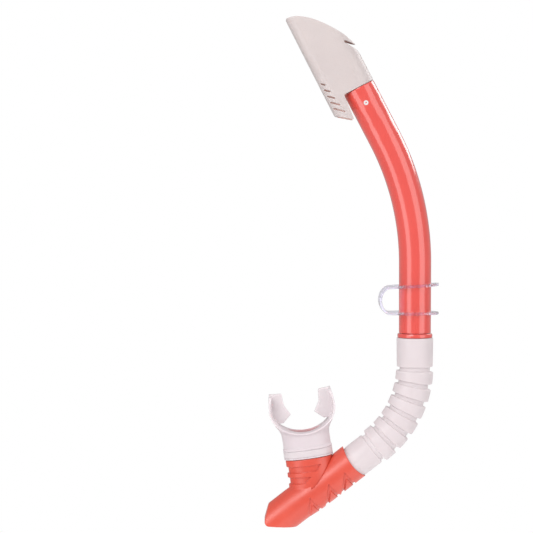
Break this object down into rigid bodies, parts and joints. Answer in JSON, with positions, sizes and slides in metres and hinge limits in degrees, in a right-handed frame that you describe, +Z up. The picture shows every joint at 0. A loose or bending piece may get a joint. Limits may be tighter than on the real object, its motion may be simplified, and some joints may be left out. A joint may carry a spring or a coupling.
{
  "type": "snorkel tube",
  "caption": "Semi-dry snorkel: bent rigid tube with splash guard and clear keeper, corrugated silicone hose, purge housing and soft mouthpiece.",
  "frame": {"origin": "middle of the strap opening in the keeper, between its bend and the tube, on the plane of symmetry", "axes": "+Z up along the lower half of the tube, +X from the mouthpiece side towards the tube's back, +Y square to the plane of symmetry"},
  "size_m": [0.1429, 0.0348, 0.4173],
  "materials": {
    "coral_gloss": "glossy injection-moulded coral plastic",
    "coral_satin": "satin moulded coral plastic",
    "pale_plastic": "pale satin plastic",
    "silicone": "translucent pale silicone",
    "clear_plastic": "clear flexible plastic"
  },
  "bodies": {
    "keeper": {"snorkel_keeper": "clear_plastic"},
    "tube": {"main_tube": "coral_gloss", "splash_guard_shell": "pale_plastic", "splash_guard_insert": "pale_plastic", "guard_pin_near": "pale_plastic", "guard_pin_far": "pale_plastic", "tube_adapter": "coral_gloss", "flex_hose": "silicone"},
    "hose_end": {"hose_ferrule": "pale_plastic"},
    "mouth_unit": {"chamber_body": "coral_satin", "mouthpiece": "silicone", "mouthpiece_tie": "silicone", "purge_valve_seat": "pale_plastic", "purge_cover": "coral_satin"},
    "purge_flap": {"purge_valve_flap": "silicone"}
  },
  "joints": [
    {"name": "keeper_slide", "type": "slide", "parent": "keeper", "child": "tube", "axis": [0, 0, 1], "range_m": [-0.022, 0.015]},
    {"name": "hose_flex", "type": "hinge", "parent": "tube", "child": "hose_end", "pos_m": [0.00925, 0, -0.089], "axis": [0, 1, 0], "range_deg": [-20, 30], "stiffness_Nm_per_rad": 1, "springref_deg": 2.86, "deforming": ["flex_hose"]},
    {"name": "chamber_swivel", "type": "hinge", "parent": "hose_end", "child": "mouth_unit", "pos_m": [-0.02891, 0, -0.1329], "axis": [-0.788, 0, -0.6157], "range_deg": [-30, 30]},
    {"name": "purge_lift", "type": "slide", "parent": "mouth_unit", "child": "purge_flap", "axis": [-0.0715, 0, -0.9974], "range_m": [0, 0.0015], "stiffness_N_per_m": 50, "springref_m": -0.0015}
  ]
}
